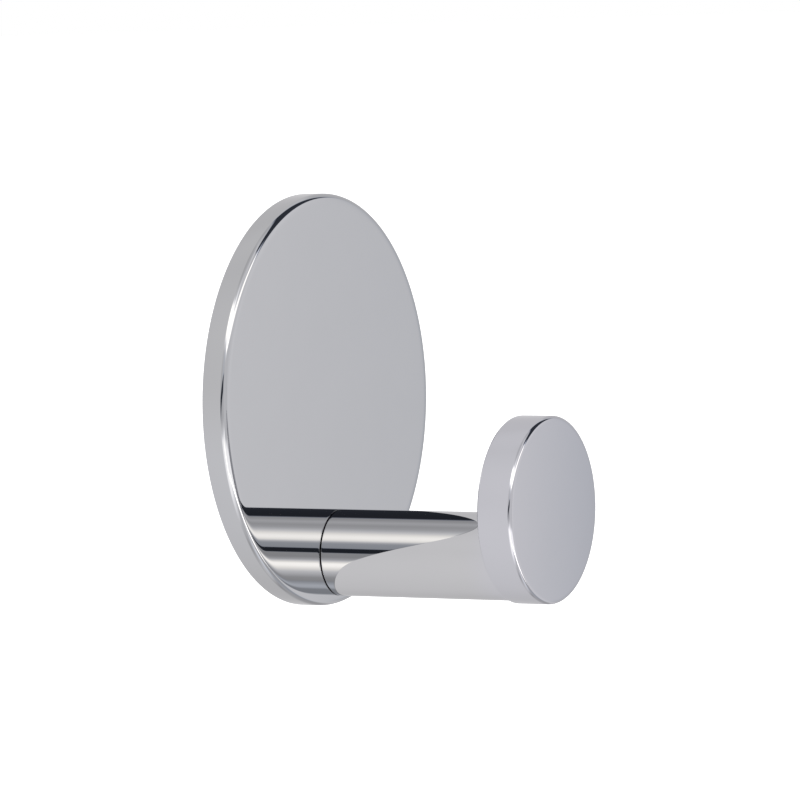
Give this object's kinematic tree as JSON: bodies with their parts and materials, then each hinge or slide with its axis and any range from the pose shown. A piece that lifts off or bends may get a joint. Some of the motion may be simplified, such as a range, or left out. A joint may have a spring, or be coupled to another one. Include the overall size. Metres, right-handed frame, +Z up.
{
  "type": "adhesive wall hook",
  "caption": "Round chrome wall hook with a straight arm and an end disc that slides down over a base plate stuck to the wall by a stretch-release strip.",
  "frame": {"origin": "middle of the strip's face on the wall, behind the centre of the round plate", "axes": "+Y points into the wall, the hook faces -Y, +Z is up and +X is to the right seen from the front"},
  "size_m": [0.07, 0.0463, 0.07],
  "materials": {
    "chrome": "polished chrome plate on cast zinc",
    "screw_steel": "plain zinc-plated steel",
    "carrier_plastic": "fine matt moulded plastic",
    "base_plastic": "fine matt moulded plastic",
    "strip_film": "thin stretchy adhesive film",
    "strip_foam": "soft closed-cell foam",
    "bumper": "soft clear dot"
  },
  "bodies": {
    "wall_mount": {"base_plate": "base_plastic", "strip_plate_film": "strip_film", "strip_foam_core": "strip_foam", "strip_wall_film": "strip_film"},
    "hook": {"wall_plate": "chrome", "hook_arm": "chrome", "arm_screw_left": "screw_steel", "arm_screw_right": "screw_steel", "slide_carrier": "carrier_plastic", "carrier_screw_upper_left": "screw_steel", "carrier_screw_upper_right": "screw_steel", "carrier_screw_lower_left": "screw_steel", "carrier_screw_lower_right": "screw_steel", "bumper_left": "bumper", "bumper_right": "bumper"}
  },
  "joints": [
    {"name": "hook_lift", "type": "slide", "parent": "wall_mount", "child": "hook", "axis": [0, 0, 1], "range_m": [0, 0.006]}
  ]
}
